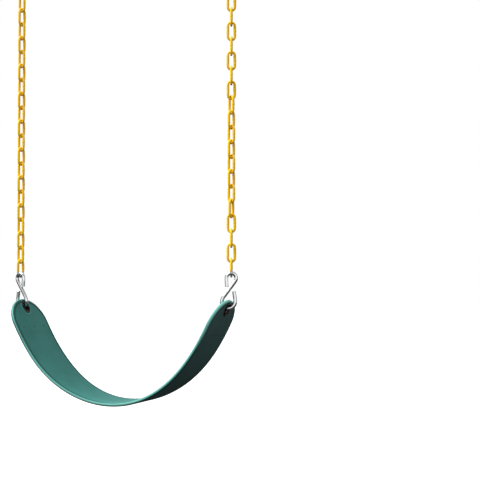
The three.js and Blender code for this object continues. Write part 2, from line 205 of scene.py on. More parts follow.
def belt_rubber():
    """Moulded teal rubber: fine grain, cloudy colour and dust, with painted light: a pale painted highlight
    on the edge wall and a lighter one on the lip, painted shade in the rim's groove and outer rounding, and
    a darker outer face as painted shade.
    """
    material, tree, shader, node = new_material("belt_rubber")
    coords = object_coords(node)
    clouds = noise(node, coords, 14, 5, 0.6)
    grain = noise(node, coords, 1500, 2, 0.5)
    specks = noise(node, coords, 520, 3, 0.7)
    rub = noise(node, coords, 45, 6, 0.7, 0.4)
    cloudy = remap(node, clouds, 0.35, 0.65, 0, 1)
    face = mix_colour(node, cloudy, (0.028, 0.182, 0.160), (0.038, 0.216, 0.192))
    dust = maths(node, "MULTIPLY", remap(node, rub, 0.56, 0.74, 0, 1), 0.20)
    face = mix_colour(node, dust, face, (0.085, 0.235, 0.210))
    # Painted shade: the outer face, the underside, is painted darker and greyer than the sitting face.
    shaded_back = mix_colour(node, cloudy, (0.030, 0.082, 0.077), (0.038, 0.100, 0.094))
    colour = mix_colour(node, attribute(node, "outer"), face, shaded_back)
    # Painted highlight: the raised lip round the eyelet is painted a lighter teal.
    colour = mix_colour(node, attribute(node, "lip"), colour, (0.110, 0.400, 0.340))
    colour = mix_colour(node, attribute(node, "shade"), colour, (0.010, 0.048, 0.042))
    # Painted highlight: the edge wall is painted a pale, speckled mint.
    speckled = remap(node, specks, 0.35, 0.65, 0, 1)
    edge = mix_colour(node, speckled, (0.150, 0.430, 0.375), (0.200, 0.520, 0.455))
    colour = mix_colour(node, attribute(node, "edge"), colour, edge)
    tree.links.new(colour, shader.inputs["Base Color"])
    tree.links.new(remap(node, specks, 0.3, 0.7, 0.48, 0.64), shader.inputs["Roughness"])
    shader.inputs["Specular IOR Level"].default_value = 0.10
    relief = maths(node, "ADD", maths(node, "MULTIPLY", grain, 0.6), maths(node, "MULTIPLY", specks, 0.5))
    add_bump(node, shader, relief, 0.35, 0.00035)
    return material


def pin_hole_rubber():
    """Painted shade: near-black rubber at the bottom of the moulding pins' holes, which are unlit."""
    material, tree, shader, node = new_material("pin_hole_rubber")
    coords = object_coords(node)
    colour = mix_colour(node, noise(node, coords, 900), (0.003, 0.008, 0.007), (0.008, 0.018, 0.016))
    tree.links.new(colour, shader.inputs["Base Color"])
    shader.inputs["Roughness"].default_value = 0.9
    shader.inputs["Specular IOR Level"].default_value = 0.05
    add_bump(node, shader, noise(node, coords, 1500), 0.3, 0.0002)
    return material


def chain_dip():
    """Thick glossy yellow vinyl over wire, small dimples in the dip, and painted shade: deeper orange on the
    insides of the links, dark brown inside the crowns where the links meet.
    """
    material, tree, shader, node = new_material("chain_dip")
    coords = object_coords(node)
    random = node("ShaderNodeObjectInfo").outputs["Random"]
    wide = node("ShaderNodeTexNoise", {"Vector": coords, "W": random}, noise_dimensions="4D",
                Scale=90.0, Detail=3.0).outputs["Fac"]
    fine = noise(node, coords, 700, 3, 0.6)
    dimples = node("ShaderNodeTexVoronoi", {"Vector": coords}, Scale=420.0).outputs["Distance"]
    cloudy = remap(node, wide, 0.35, 0.65, 0, 1)
    yellow = mix_colour(node, cloudy, (0.960, 0.550, 0.006), (1.000, 0.650, 0.012))
    # Painted shade: deeper orange on the insides of the links, most at the crowns.
    fold = maths(node, "MULTIPLY", attribute(node, "fold"), 0.55)
    colour = mix_colour(node, fold, yellow, (0.620, 0.240, 0.002))
    # Painted shade: dark brown inside the crowns, where the links meet, broken up by fine noise.
    worn = maths(node, "MULTIPLY", attribute(node, "worn"), remap(node, fine, 0.4, 0.65, 0.2, 1))
    colour = mix_colour(node, maths(node, "MULTIPLY", worn, 0.45), colour, (0.300, 0.110, 0.010))
    tree.links.new(colour, shader.inputs["Base Color"])
    tree.links.new(remap(node, wide, 0.3, 0.7, 0.26, 0.42), shader.inputs["Roughness"])
    shader.inputs["Specular IOR Level"].default_value = 0.18
    relief = maths(node, "ADD", maths(node, "MULTIPLY", wide, 0.8), maths(node, "MULTIPLY", dimples, 0.25))
    add_bump(node, shader, relief, 0.4, 0.0006)
    return material


def plated(name, colour, dark, rough_low, rough_high):
    """Plated or polished steel: faint drawn streaks, cloudy plating, grey in the places of wear."""
    material, tree, shader, node = new_material(name)
    coords = object_coords(node)
    clouds = noise(node, coords, 60, 4, 0.6)
    fine = noise(node, coords, 900, 3, 0.65)
    stretched = node("ShaderNodeMapping", {"Vector": coords}, Scale=(1.0, 1.0, 0.12)).outputs["Vector"]
    drawn = noise(node, stretched, 1040, 3, 0.6)
    duller = tuple(0.86 * c for c in colour)
    base = mix_colour(node, remap(node, clouds, 0.35, 0.68, 0, 1), colour, duller)
    worn = maths(node, "MULTIPLY", remap(node, fine, 0.58, 0.75, 0, 1), 0.35)
    base = mix_colour(node, worn, base, dark)
    tree.links.new(base, shader.inputs["Base Color"])
    shader.inputs["Metallic"].default_value = 1.0
    tree.links.new(remap(node, drawn, 0.3, 0.7, rough_low, rough_high), shader.inputs["Roughness"])
    relief = maths(node, "ADD", maths(node, "MULTIPLY", drawn, 0.5), maths(node, "MULTIPLY", clouds, 0.5))
    add_bump(node, shader, relief, 0.15, 0.0002)
    return material


def black_eyelet():
    """Black lacquered steel with a dark red cast, chipped bright where the hook rubs."""
    material, tree, shader, node = new_material("black_eyelet")
    coords = object_coords(node)
    patches = noise(node, coords, 230, 5, 0.7, 0.3)
    fine = noise(node, coords, 1100, 3, 0.6)
    reddish = remap(node, patches, 0.42, 0.62, 0, 1)
    base = mix_colour(node, reddish, (0.004, 0.003, 0.003), (0.026, 0.006, 0.008))
    chips = remap(node, patches, 0.60, 0.66, 0, 0.9)
    chipped = maths(node, "MULTIPLY", attribute(node, "rub"), chips)
    base = mix_colour(node, chipped, base, (0.62, 0.60, 0.57))
    tree.links.new(base, shader.inputs["Base Color"])
    tree.links.new(chipped, shader.inputs["Metallic"])
    tree.links.new(remap(node, fine, 0.3, 0.7, 0.22, 0.40), shader.inputs["Roughness"])
    shader.inputs["Specular IOR Level"].default_value = 0.05
    add_bump(node, shader, fine, 0.25, 0.0002)
    return material


def mill_plate():
    """Cold-rolled sheet: rolling lines, blue-grey scale and rust freckles."""
    material, tree, shader, node = new_material("mill_plate")
    coords = object_coords(node)
    scale = noise(node, coords, 70, 5, 0.6)
    freckles = noise(node, coords, 480, 4, 0.7)
    wave = node("ShaderNodeTexWave", {"Vector": coords}, Scale=180.0, Distortion=2.0, Detail=2.0)
    base = mix_colour(node, scale, (0.30, 0.31, 0.33), (0.48, 0.48, 0.47))
    base = mix_colour(node, remap(node, freckles, 0.62, 0.74, 0, 0.8), base, (0.23, 0.09, 0.03))
    tree.links.new(base, shader.inputs["Base Color"])
    tree.links.new(remap(node, freckles, 0.5, 0.75, 0.9, 0.2), shader.inputs["Metallic"])
    tree.links.new(remap(node, scale, 0.3, 0.7, 0.32, 0.6), shader.inputs["Roughness"])
    add_bump(node, shader, wave.outputs["Fac"], 0.2, 0.0001)
    return material


def pale_floor():
    """Matt pale floor with a barely visible cloudiness."""
    material, tree, shader, node = new_material("pale_floor")
    coords = object_coords(node)
    clouds = noise(node, coords, 1.3, 4, 0.6)
    colour = mix_colour(node, clouds, (0.80, 0.80, 0.79), (0.86, 0.86, 0.85))
    tree.links.new(colour, shader.inputs["Base Color"])
    shader.inputs["Roughness"].default_value = 0.9
    shader.inputs["Specular IOR Level"].default_value = 0.1
    return material


RUBBER = belt_rubber()
PIN_HOLE = pin_hole_rubber()
DIP = chain_dip()
CHROME = plated("hook_chrome", (0.93, 0.94, 0.95), (0.10, 0.10, 0.11), 0.05, 0.13)
SNAP = plated("snap_steel", (0.78, 0.79, 0.80), (0.07, 0.07, 0.08), 0.10, 0.22)
BARE = plated("bare_wire", (0.72, 0.72, 0.72), (0.12, 0.11, 0.10), 0.16, 0.32)
SPRING = plated("spring_steel", (0.45, 0.45, 0.46), (0.06, 0.06, 0.06), 0.18, 0.34)
EYELET = black_eyelet()
PLATE = mill_plate()
FLOOR = pale_floor()


# ------------------------------------------------------------------ mesh helpers

def make_object(name, vertices, faces, *materials, values=None, material_of=None):
    """A smooth object from points in millimetres. values holds a number per point for each attribute."""
    mesh = bpy.data.meshes.new(name)
    mesh.from_pydata([tuple(c * MM for c in v) for v in vertices], [], faces)
    for key, numbers in (values or {}).items():
        mesh.attributes.new(key, "FLOAT", "POINT").data.foreach_set("value", numbers)
    for material in materials:
        mesh.materials.append(material)
    if material_of:
        mesh.polygons.foreach_set("material_index", material_of)
    mesh.shade_smooth()
    mesh.update()
    obj = bpy.data.objects.new(name, mesh)
    bpy.context.scene.collection.objects.link(obj)
    return obj


def lathe(name, profile, material, segments=72, values=None):
    """A closed (radius, height) profile turned about the Z axis."""
    vertices, faces = [], []
    count = len(profile)
    for i in range(segments):
        angle = 2 * math.pi * i / segments
        vertices += [(r * math.cos(angle), r * math.sin(angle), z) for r, z in profile]
        for j in range(count):
            a, b = i * count + j, i * count + (j + 1) % count
            step = count * ((i + 1) % segments - i)
            faces.append((a, a + step, b + step, b))
    repeated = {key: list(numbers) * segments for key, numbers in (values or {}).items()}
    return make_object(name, vertices, faces, material, values=repeated)


def smooth_path(points, per_span=8):
    """Centripetal curve through points in a plane, sampled evenly in each span."""
    points = [np.array(p, float) for p in points]
    ends = [2 * points[0] - points[1]] + points + [2 * points[-1] - points[-2]]
    path = []
    for p0, p1, p2, p3 in zip(ends, ends[1:], ends[2:], ends[3:]):
        d0, d1, d2 = (np.linalg.norm(b - a) ** 0.5 for a, b in ((p0, p1), (p1, p2), (p2, p3)))
        t1 = ((p1 - p0) / d0 - (p2 - p0) / (d0 + d1) + (p2 - p1) / d1) * d1
        t2 = ((p2 - p1) / d1 - (p3 - p1) / (d1 + d2) + (p3 - p2) / d2) * d1
        for i in range(per_span):
            t = i / per_span
            square = (3 * (p2 - p1) - 2 * t1 - t2) * t ** 2
            cube = (2 * (p1 - p2) + t1 + t2) * t ** 3
            path.append(p1 + t1 * t + square + cube)
    return path + [points[-1]]


def arc(x, z, radius, start, end, count):
    """Points on an arc in the XZ plane, between two angles in degrees."""
    angles = [math.radians(start + (end - start) * i / count) for i in range(count + 1)]
    return [(x + radius * math.cos(a), z + radius * math.sin(a)) for a in angles]


def wire_mesh(path, radii, sides, closed):
    """Points and faces of a round wire along a path in the XZ plane, with a radius at each point of it."""
    path = np.array(path, float)
    if closed:
        tangent = np.roll(path, -1, 0) - np.roll(path, 1, 0)
    else:
        tangent = np.gradient(path, axis=0)
    tangent /= np.linalg.norm(tangent, axis=1)[:, None]
    vertices, faces = [], []
    for (x, z), (tx, tz), radius in zip(path, tangent, radii):
        for k in range(sides):
            phi = 2 * math.pi * k / sides
            out = radius * math.cos(phi)
            vertices.append((x + out * tz, radius * math.sin(phi), z - out * tx))
    rings = len(path)
    for i in range(rings if closed else rings - 1):
        for k in range(sides):
            a, b = i * sides + k, i * sides + (k + 1) % sides
            step = sides * ((i + 1) % rings - i)
            faces.append((a, b, b + step, a + step))
    return vertices, faces


def cut_wire(name, points, diameter, material, sides=28, chamfer=0.9):
    """A bent wire with chamfered, sawn ends."""
    path = smooth_path(points)
    radius = diameter / 2
    first, last = path[0] - path[1], path[-1] - path[-2]
    first, last = first / np.linalg.norm(first), last / np.linalg.norm(last)
    path = [path[0], path[0] - first * chamfer] + path[2:-2] + [path[-1] - last * chamfer, path[-1]]
    radii = [radius - chamfer] + [radius] * (len(path) - 2) + [radius - chamfer]
    vertices, faces = wire_mesh(path, radii, sides, False)
    faces.append(tuple(range(sides)))
    faces.append(tuple(range(len(vertices) - sides, len(vertices))))
    obj = make_object(name, vertices, faces, material)
    fix_normals(obj)
    sharpen(obj)
    return obj


def fix_normals(obj):
    mesh = bmesh.new()
    mesh.from_mesh(obj.data)
    bmesh.ops.recalc_face_normals(mesh, faces=mesh.faces)
    mesh.to_mesh(obj.data)
    mesh.free()


def sharpen(obj, degrees=35):
    obj.data.set_sharp_from_angle(angle=math.radians(degrees))


def bar(radius, length, matrix, sides=48, material=None):
    """A throwaway cylinder to cut with, along its own Z. The cut faces take its material."""
    mesh = bmesh.new()
    bmesh.ops.create_cone(mesh, cap_ends=True, segments=sides, radius1=radius * MM, radius2=radius * MM,
                          depth=length * MM, matrix=matrix)
    return as_tool(mesh, material)


def block(width, depth, height, matrix):
    """A throwaway box to cut with."""
    mesh = bmesh.new()
    size = Matrix.Diagonal((width * MM, depth * MM, height * MM, 1))
    bmesh.ops.create_cube(mesh, size=1, matrix=matrix @ size)
    return as_tool(mesh)


def as_tool(mesh, material=None):
    data = bpy.data.meshes.new("tool")
    mesh.to_mesh(data)
    if material:
        data.materials.append(material)
    mesh.free()
    tool = bpy.data.objects.new("tool", data)
    bpy.context.scene.collection.objects.link(tool)
    return tool


def combine(obj, operation, tools):
    """Joins or cuts with throwaway solids, for good, and removes them."""
    for tool in tools:
        modifier = obj.modifiers.new("boolean", "BOOLEAN")
        modifier.operation = operation
        modifier.solver = "EXACT"
        modifier.material_mode = "TRANSFER" if tool.data.materials else "INDEX"
        modifier.object = tool
        graph = bpy.context.evaluated_depsgraph_get()
        data = bpy.data.meshes.new_from_object(obj.evaluated_get(graph))
        obj.modifiers.clear()
        obj.data = data
        bpy.data.objects.remove(tool)
    obj.data.shade_smooth()
    sharpen(obj)


def settle(obj, node, body):
    """The finished piece stands for its CAD node and moves with its body."""
    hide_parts(node)
    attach(obj, body)


def shift(x, y, z):
    return Matrix.Translation((x * MM, y * MM, z * MM))


# ------------------------------------------------------------------ belt

HALF_LENGTH = BELT_LENGTH / 2
BELT_LOW, BELT_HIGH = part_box("seat_belt")
SEAT_Y = (BELT_LOW.y + BELT_HIGH.y) / 2 / MM
LOWEST_Z = BELT_LOW.z / MM + BELT_THICKNESS / 2

CURVE_STEP = 0.25
CURVE_MARGIN = 4  # the curve is worked out a little past the tips
curve_s = np.arange(-HALF_LENGTH - CURVE_MARGIN, HALF_LENGTH + CURVE_MARGIN, CURVE_STEP)
curve_slope = END_SLOPE * np.sin(math.pi * curve_s / BELT_LENGTH)
curve_x = np.cumsum(np.cos(curve_slope)) * CURVE_STEP
curve_z = np.cumsum(np.sin(curve_slope)) * CURVE_STEP
curve_x -= np.interp(0, curve_s, curve_x)
curve_z -= np.interp(0, curve_s, curve_z)


def slope_at(s):
    return END_SLOPE * math.sin(math.pi * s / BELT_LENGTH)


def on_belt(s, across, height):
    """The point at a distance along the belt, across it and above its middle surface, in the row frame."""
    slope = slope_at(s)
    return (
        float(np.interp(s, curve_s, curve_x)) - height * math.sin(slope),
        SEAT_Y + across,
        LOWEST_Z + float(np.interp(s, curve_s, curve_z)) + height * math.cos(slope),
    )


def full_half_width(s):
    reach = min(abs(s) / WAIST_REACH, 1)
    swell = (1 - math.cos(math.pi * reach)) / 2
    return (BELT_WAIST_WIDTH + (BELT_END_WIDTH - BELT_WAIST_WIDTH) * swell) / 2


def smoothstep(low, high, value):
    """0 at low, 1 at high, eased between them. Either may be the larger."""
    t = min(max((value - low) / (high - low), 0), 1)
    return t * t * (3 - 2 * t)


# Edge of the belt from the sitting face round to the outer face. Each ring is (inset from the outline,
# height, edge, shade): a groove, the rounded bead, the wall with a pale painted highlight, the wide
# rounding of the outer side with painted shade. Edge is the share of painted highlight, shade of painted
# shade.
RIM = [
    (9.0, 3.30, 0.0, 0.0), (8.2, 3.20, 0.0, 0.7), (7.4, 2.80, 0.0, 1.0), (6.6, 2.78, 0.0, 1.0),
    (5.8, 3.20, 0.0, 0.6), (5.0, 3.44, 0.0, 0.35), (3.6, 3.50, 0.0, 0.35), (2.2, 3.42, 0.0, 0.5),
    (1.1, 3.05, 0.35, 0.3), (0.45, 2.45, 0.9, 0.0), (0.12, 1.75, 1.0, 0.0), (0.0, 0.95, 1.0, 0.0),
    (0.0, 0.30, 1.0, 0.0), (0.15, -0.45, 0.8, 0.0), (0.5, -1.30, 0.3, 0.4), (1.1, -2.15, 0.0, 0.8),
    (2.0, -2.90, 0.0, 1.0), (3.2, -3.38, 0.0, 0.8), (5.0, -3.50, 0.0, 0.3), (9.0, -3.50, 0.0, 0.0),
]
# Where along the belt the painted highlight on the outer edge begins at the right end, and the painted shade
# at the left, and is done.
HIGHLIGHT_FROM, HIGHLIGHT_TO = 221.5, 291.5
SHADE_FROM, SHADE_TO = 150.0, 261.5
# The face has a finer grid in this middle share of its width, for the lip round the eyelet.
FINE_SHARE = 0.34
FINE_STEPS = 22
COARSE_STEPS = 16
LIP_RADIUS = 16.9
LIP_WIDTH = 1.2
LIP_HEIGHT = 0.9
PLATE_STEP_INNER = 0.4  # how high the plate shows on the sitting face
PLATE_STEP_OUTER = 0.25


def rim_looks(s, inset, height, edge_highlight, shade):
    """Edge and shade of a rim point: a painted highlight further round the outer edge at the right end,
    painted shade at the left.
    """
    pale = smoothstep(HIGHLIGHT_FROM, HIGHLIGHT_TO, s) * float(height < 1 and inset < 3)
    dark = 0.85 * smoothstep(SHADE_FROM, SHADE_TO, -s) * float(height < 1.2)
    return (edge_highlight + pale * (1 - edge_highlight)) * (1 - dark), max(shade * (1 - pale), 0.5 * dark)


def belt_lip(s, across):
    """Share of the moulded lip round the eyelet at a place on the belt."""
    from_hole = math.hypot(HALF_LENGTH - abs(s) - HOLE_FROM_TIP, across)
    return math.exp(-((from_hole - LIP_RADIUS) / LIP_WIDTH) ** 2)


def plate_step(s, across):
    """Share of the low step over the steel plate that is moulded in."""
    from_tip = HALF_LENGTH - abs(s)
    below = max(from_tip - HOLE_FROM_TIP, 0)
    plate = PLATE_RING_RADIUS + 4 + PLATE_FLARE * below
    return smoothstep(-1.5, 1.5, plate - abs(across)) * smoothstep(-1.5, 1.5, PLATE_END + 3 - from_tip)


def belt_stations():
    """(s, half width) along the belt, close together where the tips round off and over the plates."""
    tip_start = HALF_LENGTH - TIP_ROUNDING
    plate_start = HALF_LENGTH - PLATE_END - 8
    tip_angles = np.radians(np.arange(1.5, 89, 1.5))
    rounded = [(tip_start + TIP_ROUNDING * math.sin(t), math.cos(t)) for t in tip_angles]
    over_plate = [(s, 1) for s in np.linspace(plate_start, tip_start, 23)[1:]]
    middle = [(s, 1) for s in np.linspace(-plate_start, plate_start, 95)]
    right = over_plate + rounded
    stations = [(-s, k) for s, k in reversed(right)] + middle + right
    return [(s, full_half_width(s) * k) for s, k in stations]


def build_belt():
    stations = belt_stations()
    count = len(stations)
    near = [FINE_SHARE * i / FINE_STEPS for i in range(FINE_STEPS + 1)]
    far = [near[-1] + (1 - near[-1]) * i / COARSE_STEPS for i in range(1, COARSE_STEPS + 1)]
    half_fractions = near + far
    fractions = [-f for f in reversed(half_fractions[1:])] + half_fractions
    columns = len(fractions)

    edge = np.array(stations)
    tangent = np.gradient(edge, axis=0)
    tangent /= np.linalg.norm(tangent, axis=1)[:, None]
    inward = np.stack([tangent[:, 1], -tangent[:, 0]], 1)

    def outline(inset):
        """The belt's outline in plan, moved inwards: right edge, far tip, left edge, near tip."""
        right = edge + inward * inset
        points = [(s, v) for s, v in right]
        last, first = right[-1], right[0]
        points += [(last[0], last[1] * f) for f in reversed(fractions[1:-1])]
        points += [(s, -v) for s, v in right[::-1]]
        points += [(first[0], first[1] * f) for f in fractions[1:-1]]
        return points

    plan = []
    looks = {"edge": [], "shade": [], "outer": [], "lip": []}

    def add_point(s, v, height, edge_highlight, shade):
        lip = belt_lip(s, v) if height > 2.9 else 0.0
        plan.append((s, v, height + LIP_HEIGHT * lip))
        # Shares of the painted highlight on the edge wall and on the lip, and of painted shade, which the
        # lip lessens.
        looks["edge"].append(edge_highlight)
        looks["shade"].append(shade * (1 - lip))
        looks["outer"].append(float(height < -3))
        looks["lip"].append(0.85 * lip)

    for inset, height, edge_highlight, shade in RIM:
        for s, v in outline(inset):
            add_point(s, v, height, *rim_looks(s, inset, height, edge_highlight, shade))
    ring_length = len(plan) // len(RIM)
    faces = []
    for level in range(len(RIM) - 1):
        for j in range(ring_length):
            a, b = level * ring_length + j, level * ring_length + (j + 1) % ring_length
            faces.append((a, a + ring_length, b + ring_length, b))

    def face_grid(level, height, flip):
        """Fills one face between the two edges of its innermost ring."""
        base = level * ring_length
        right = edge + inward * RIM[level][0]
        raised = PLATE_STEP_INNER if height > 0 else -PLATE_STEP_OUTER
        index = {}
        for i in range(count):
            for c in range(columns):
                if c == columns - 1:
                    index[i, c] = base + i
                elif c == 0:
                    index[i, c] = base + count + (columns - 2) + (count - 1 - i)
                elif i == count - 1:
                    index[i, c] = base + count + (columns - 2 - c)
                elif i == 0:
                    index[i, c] = base + 2 * count + (columns - 2) + (c - 1)
                else:
                    s, v = right[i][0], right[i][1] * fractions[c]
                    index[i, c] = len(plan)
                    add_point(s, v, height + raised * plate_step(s, v), 0.0, 0.0)
        for i in range(count - 1):
            for c in range(columns - 1):
                quad = (index[i, c], index[i + 1, c], index[i + 1, c + 1], index[i, c + 1])
                faces.append(quad[::-1] if flip else quad)

    face_grid(0, RIM[0][1], False)
    face_grid(len(RIM) - 1, RIM[-1][1], True)

    belt = make_object("belt", [on_belt(*p) for p in plan], faces, RUBBER, values=looks)
    fix_normals(belt)
    tools = []
    for _, sign in SIDES:
        tools.append(bar(EYELET_BARREL_RADIUS + GAP, BORE_CUTTER_LENGTH, bore_matrix(sign)))
        along = sign * (HALF_LENGTH - PIN_HOLES_FROM_TIP)
        turn = Matrix.Rotation(-slope_at(along), 4, "Y")
        for row in (-1, 0, 1):
            place = shift(*on_belt(along, row * PIN_HOLE_SPACING, 2.2))
            tools.append(bar(PIN_HOLE_RADIUS, BELT_THICKNESS / 2, place @ turn, 24, PIN_HOLE))
    combine(belt, "DIFFERENCE", tools)
    settle(belt, "seat_belt", "seat")


def bore_matrix(sign):
    """The eyelet's place: origin in the belt's middle surface, +Z towards the sitting face."""
    along = sign * (HALF_LENGTH - HOLE_FROM_TIP)
    return shift(*on_belt(along, 0, 0)) @ Matrix.Rotation(-slope_at(along), 4, "Y")


build_belt()


# ------------------------------------------------------------------ eyelets

def build_eyelets():
    top, bottom = EYELET_INNER_REACH, -EYELET_OUTER_REACH
    bore, barrel = EYELET_BORE_RADIUS, EYELET_BARREL_RADIUS
    flange, lip = EYELET_FLANGE_RADIUS, EYELET_LIP_RADIUS
    profile = [
        (bore, bottom + 1.4), (bore + 0.25, bottom + 0.6), (bore + 0.9, bottom + 0.1), (bore + 1.7, bottom),
        (lip - 0.7, bottom + 0.05), (lip - 0.15, bottom + 0.3), (lip, bottom + 0.6),
        (lip - 0.15, bottom + 0.85), (barrel, bottom + 0.8), (barrel, top - 1.0),
        (flange - 0.1, top - 1.0), (flange, top - 0.75),
        (flange - 0.1, top - 0.4), (flange - 0.6, top - 0.1), (flange - 1.4, top), (bore + 1.3, top),
        (bore + 0.5, top - 0.3), (bore + 0.1, top - 0.9), (bore, top - 1.8),
    ]
    rub = [0.9, 1, 0.8, 0.4, 0.2, 0.3, 0.2, 0, 0, 0, 0, 0.1, 0.3, 0.2, 0.1, 0.4, 0.9, 1, 0.7]
    inner, reach = barrel + GAP, -EYELET_INNER_REACH
    washer_profile = [
        (inner, reach + 0.1), (inner + 0.2, reach), (flange - 0.3, reach), (flange, reach + 0.25),
        (flange, reach + 0.8), (flange - 0.2, reach + 1.0), (inner, reach + 1.0),
    ]
    for name, sign in SIDES:
        eyelet = lathe(f"eyelet_rolled_{name}", profile, EYELET, 96, {"rub": rub})
        washer = lathe(f"washer_{name}", washer_profile, EYELET, 96, {"rub": [0.2] * len(washer_profile)})
        for obj, node in ((eyelet, "eyelet"), (washer, "eyelet_washer")):
            obj.data.transform(bore_matrix(sign))
            fix_normals(obj)
            sharpen(obj, 50)
            settle(obj, f"{node}_{name}", "seat")
        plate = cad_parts[f"end_plate_{name}"]
        plate.data.materials.clear()
        plate.data.materials.append(PLATE)


build_eyelets()


# ------------------------------------------------------------------ chain line

def chain_line(side):
    """X of one chain, in millimetres."""
    low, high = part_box(f"chain_link_{side}_01")
    return (low.x + high.x) / 2 / MM


def turned(side, degrees, z=0.0):
    """A frame standing on a chain's line at a height, turned about it."""
    return shift(chain_line(side), 0, z) @ Matrix.Rotation(math.radians(degrees), 4, "Z")


def chain_turn(side, level):
    """How far the chain is turned about its own line at a level counted up from the seat."""
    if side == "left":
        return -HOOK_TURN

    def wound(start):
        return EIGHTH_TURN * min(max((level - start) / EIGHTH_TURN_LINKS, 0), 1)

    return HOOK_TURN - wound(FIRST_TURN_LEVEL) - wound(SECOND_TURN_LEVEL)


# ------------------------------------------------------------------ S-hooks

def build_hooks():
    for name, sign in SIDES:
        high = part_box(f"s_hook_{name}")[1].z / MM
        upper_z = high - HOOK_WIRE / 2 - HOOK_UPPER_RADIUS
        lower_z = upper_z + HOOK_UPPER_RADIUS - (HOOK_HEIGHT - HOOK_WIRE) + HOOK_LOWER_RADIUS
        upper, lower = np.array([0, upper_z]), np.array([-HOOK_OFFSET, lower_z])
        apart = lower - upper
        radii = HOOK_UPPER_RADIUS + HOOK_LOWER_RADIUS
        shank = math.sqrt(apart @ apart - radii ** 2)
        heading = math.degrees(math.atan2(apart[1], apart[0]) - math.atan2(radii, shank))
        upper_arc = arc(*upper, HOOK_UPPER_RADIUS, 180, heading + 90, 9)
        lower_arc = arc(*lower, HOOK_LOWER_RADIUS, heading + 270, 360, 8)
        middle = tuple((np.array(upper_arc[-1]) + np.array(lower_arc[0])) / 2)
        upper_tail = (-HOOK_UPPER_RADIUS + HOOK_UPPER_CLOSING, upper_z - HOOK_UPPER_TAIL)
        lower_tail = (HOOK_LOWER_RADIUS - HOOK_OFFSET - HOOK_LOWER_CLOSING, lower_z + HOOK_LOWER_TAIL)
        points = [upper_tail, *upper_arc, middle, *lower_arc, lower_tail]
        hook = cut_wire(f"hook_{name}_chrome", points, HOOK_WIRE, CHROME)
        hook.data.transform(turned(name, HOOK_TURN if sign > 0 else 180 - HOOK_TURN))
        settle(hook, f"s_hook_{name}", f"hook_{name}")


build_hooks()


# ------------------------------------------------------------------ chain links

# Changes to the radius of a dipped link.
CROWN_THINNING = 0.20
LEG_SWELL = 0.43
WELD_SWELL = 0.30
DIP_RUN = 0.10  # where the dip ran down before it set
LINK_STEPS = 96
LINK_SIDES = 20


def link_mesh(name, half_dipped):
    """One welded link upright in the XZ plane: dip thicker along the legs, a weld in one of them."""
    ring = (LINK_WIDTH - LINK_WIRE) / 2
    stretch = (LINK_LENGTH - LINK_WIDTH) / 2
    path, radii = [], []
    quarter = LINK_STEPS // 4
    straight = quarter // 2
    for end in (1, -1):
        for i in range(quarter + straight + 1):
            angle = math.pi * i / (quarter + straight)
            path.append((end * ring * math.cos(angle), end * (stretch + ring * math.sin(angle))))
        for i in range(1, straight):
            path.append((-end * ring, end * (stretch - 2 * stretch * i / straight)))
    for x, z in path:
        weld = WELD_SWELL * math.exp(-((z - 1.0) / 2.2) ** 2) if x > ring - 0.5 else 0
        run = DIP_RUN * math.exp(-((z + stretch + ring) / 3.0) ** 2)
        wobble = 0.05 * math.sin(z * 0.9 + x) + 0.04 * math.sin(z * 2.3 - x * 1.7)
        bare = smoothstep(DIP_ENDS + 0.3, DIP_ENDS - 0.3, z) if half_dipped and z < 0 else 0
        leg = smoothstep(stretch + 0.6 * ring, 0.6 * stretch, abs(z))
        dip = LINK_WIRE / 2 - CROWN_THINNING + run + wobble + LEG_SWELL * leg
        radii.append((1 - bare) * dip + bare * BARE_WIRE / 2 + weld)
    vertices, faces = wire_mesh(path, radii, LINK_SIDES, True)
    # Masks of painted shade: the insides of the link, most at the crowns, and the insides of the crowns,
    # where the next link sits.
    fold, worn, material_of = [], [], []
    for i, (x, z) in enumerate(path):
        crown = smoothstep(stretch, stretch + ring, abs(z))
        for k in range(LINK_SIDES):
            inside = -math.cos(2 * math.pi * k / LINK_SIDES)
            facing_in = smoothstep(-0.1, 1, inside)
            fold.append(facing_in * (0.45 + 0.55 * crown))
            worn.append(facing_in * crown)
    for i in range(len(path)):
        bare_face = half_dipped and path[i][1] < DIP_ENDS and path[(i + 1) % len(path)][1] < DIP_ENDS
        material_of += [int(bare_face)] * LINK_SIDES
    obj = make_object(name, vertices, faces, DIP, BARE, values={"fold": fold, "worn": worn},
                      material_of=material_of)
    fix_normals(obj)
    return obj


def build_chains():
    patterns = link_mesh("dipped_link", False), link_mesh("lowest_link", True)
    dipped, lowest = (pattern.data for pattern in patterns)
    for pattern in patterns:
        bpy.data.objects.remove(pattern)
    for name, _ in SIDES:
        for i in range(1, LINKS_PER_SIDE + 1):
            node = f"chain_link_{name}_{i:02d}"
            low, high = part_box(node)
            level = LINKS_PER_SIDE + 1 - i
            crossways = 0 if level % 2 == 0 else 90
            data = lowest if level == 1 else dipped
            link = bpy.data.objects.new(f"link_{name}_{i:02d}_dipped", data)
            bpy.context.scene.collection.objects.link(link)
            middle = (low.z + high.z) / 2 / MM
            link.matrix_world = turned(name, chain_turn(name, level) + crossways, middle)
            settle(link, node, f"link_{name}_{i:02d}")


build_chains()


# ------------------------------------------------------------------ snap hooks

SNAP_BOTTOM_Z = 1.5 * SNAP_WIRE - SNAP_HEIGHT
NARROW_Z = SNAP_WIRE / 2 - SNAP_NARROW_RADIUS
WIDE_Z = SNAP_BOTTOM_Z + SNAP_WIDE_RADIUS


def gate_line(down):
    """The point on the gate's line at a depth below the hanging point."""
    share = (down - SNAP_NECK_DOWN) / (-WIDE_Z - SNAP_NECK_DOWN)
    return np.array([-SNAP_NECK_ACROSS + share * (SNAP_NECK_ACROSS - SNAP_WIDE_RADIUS), -down])


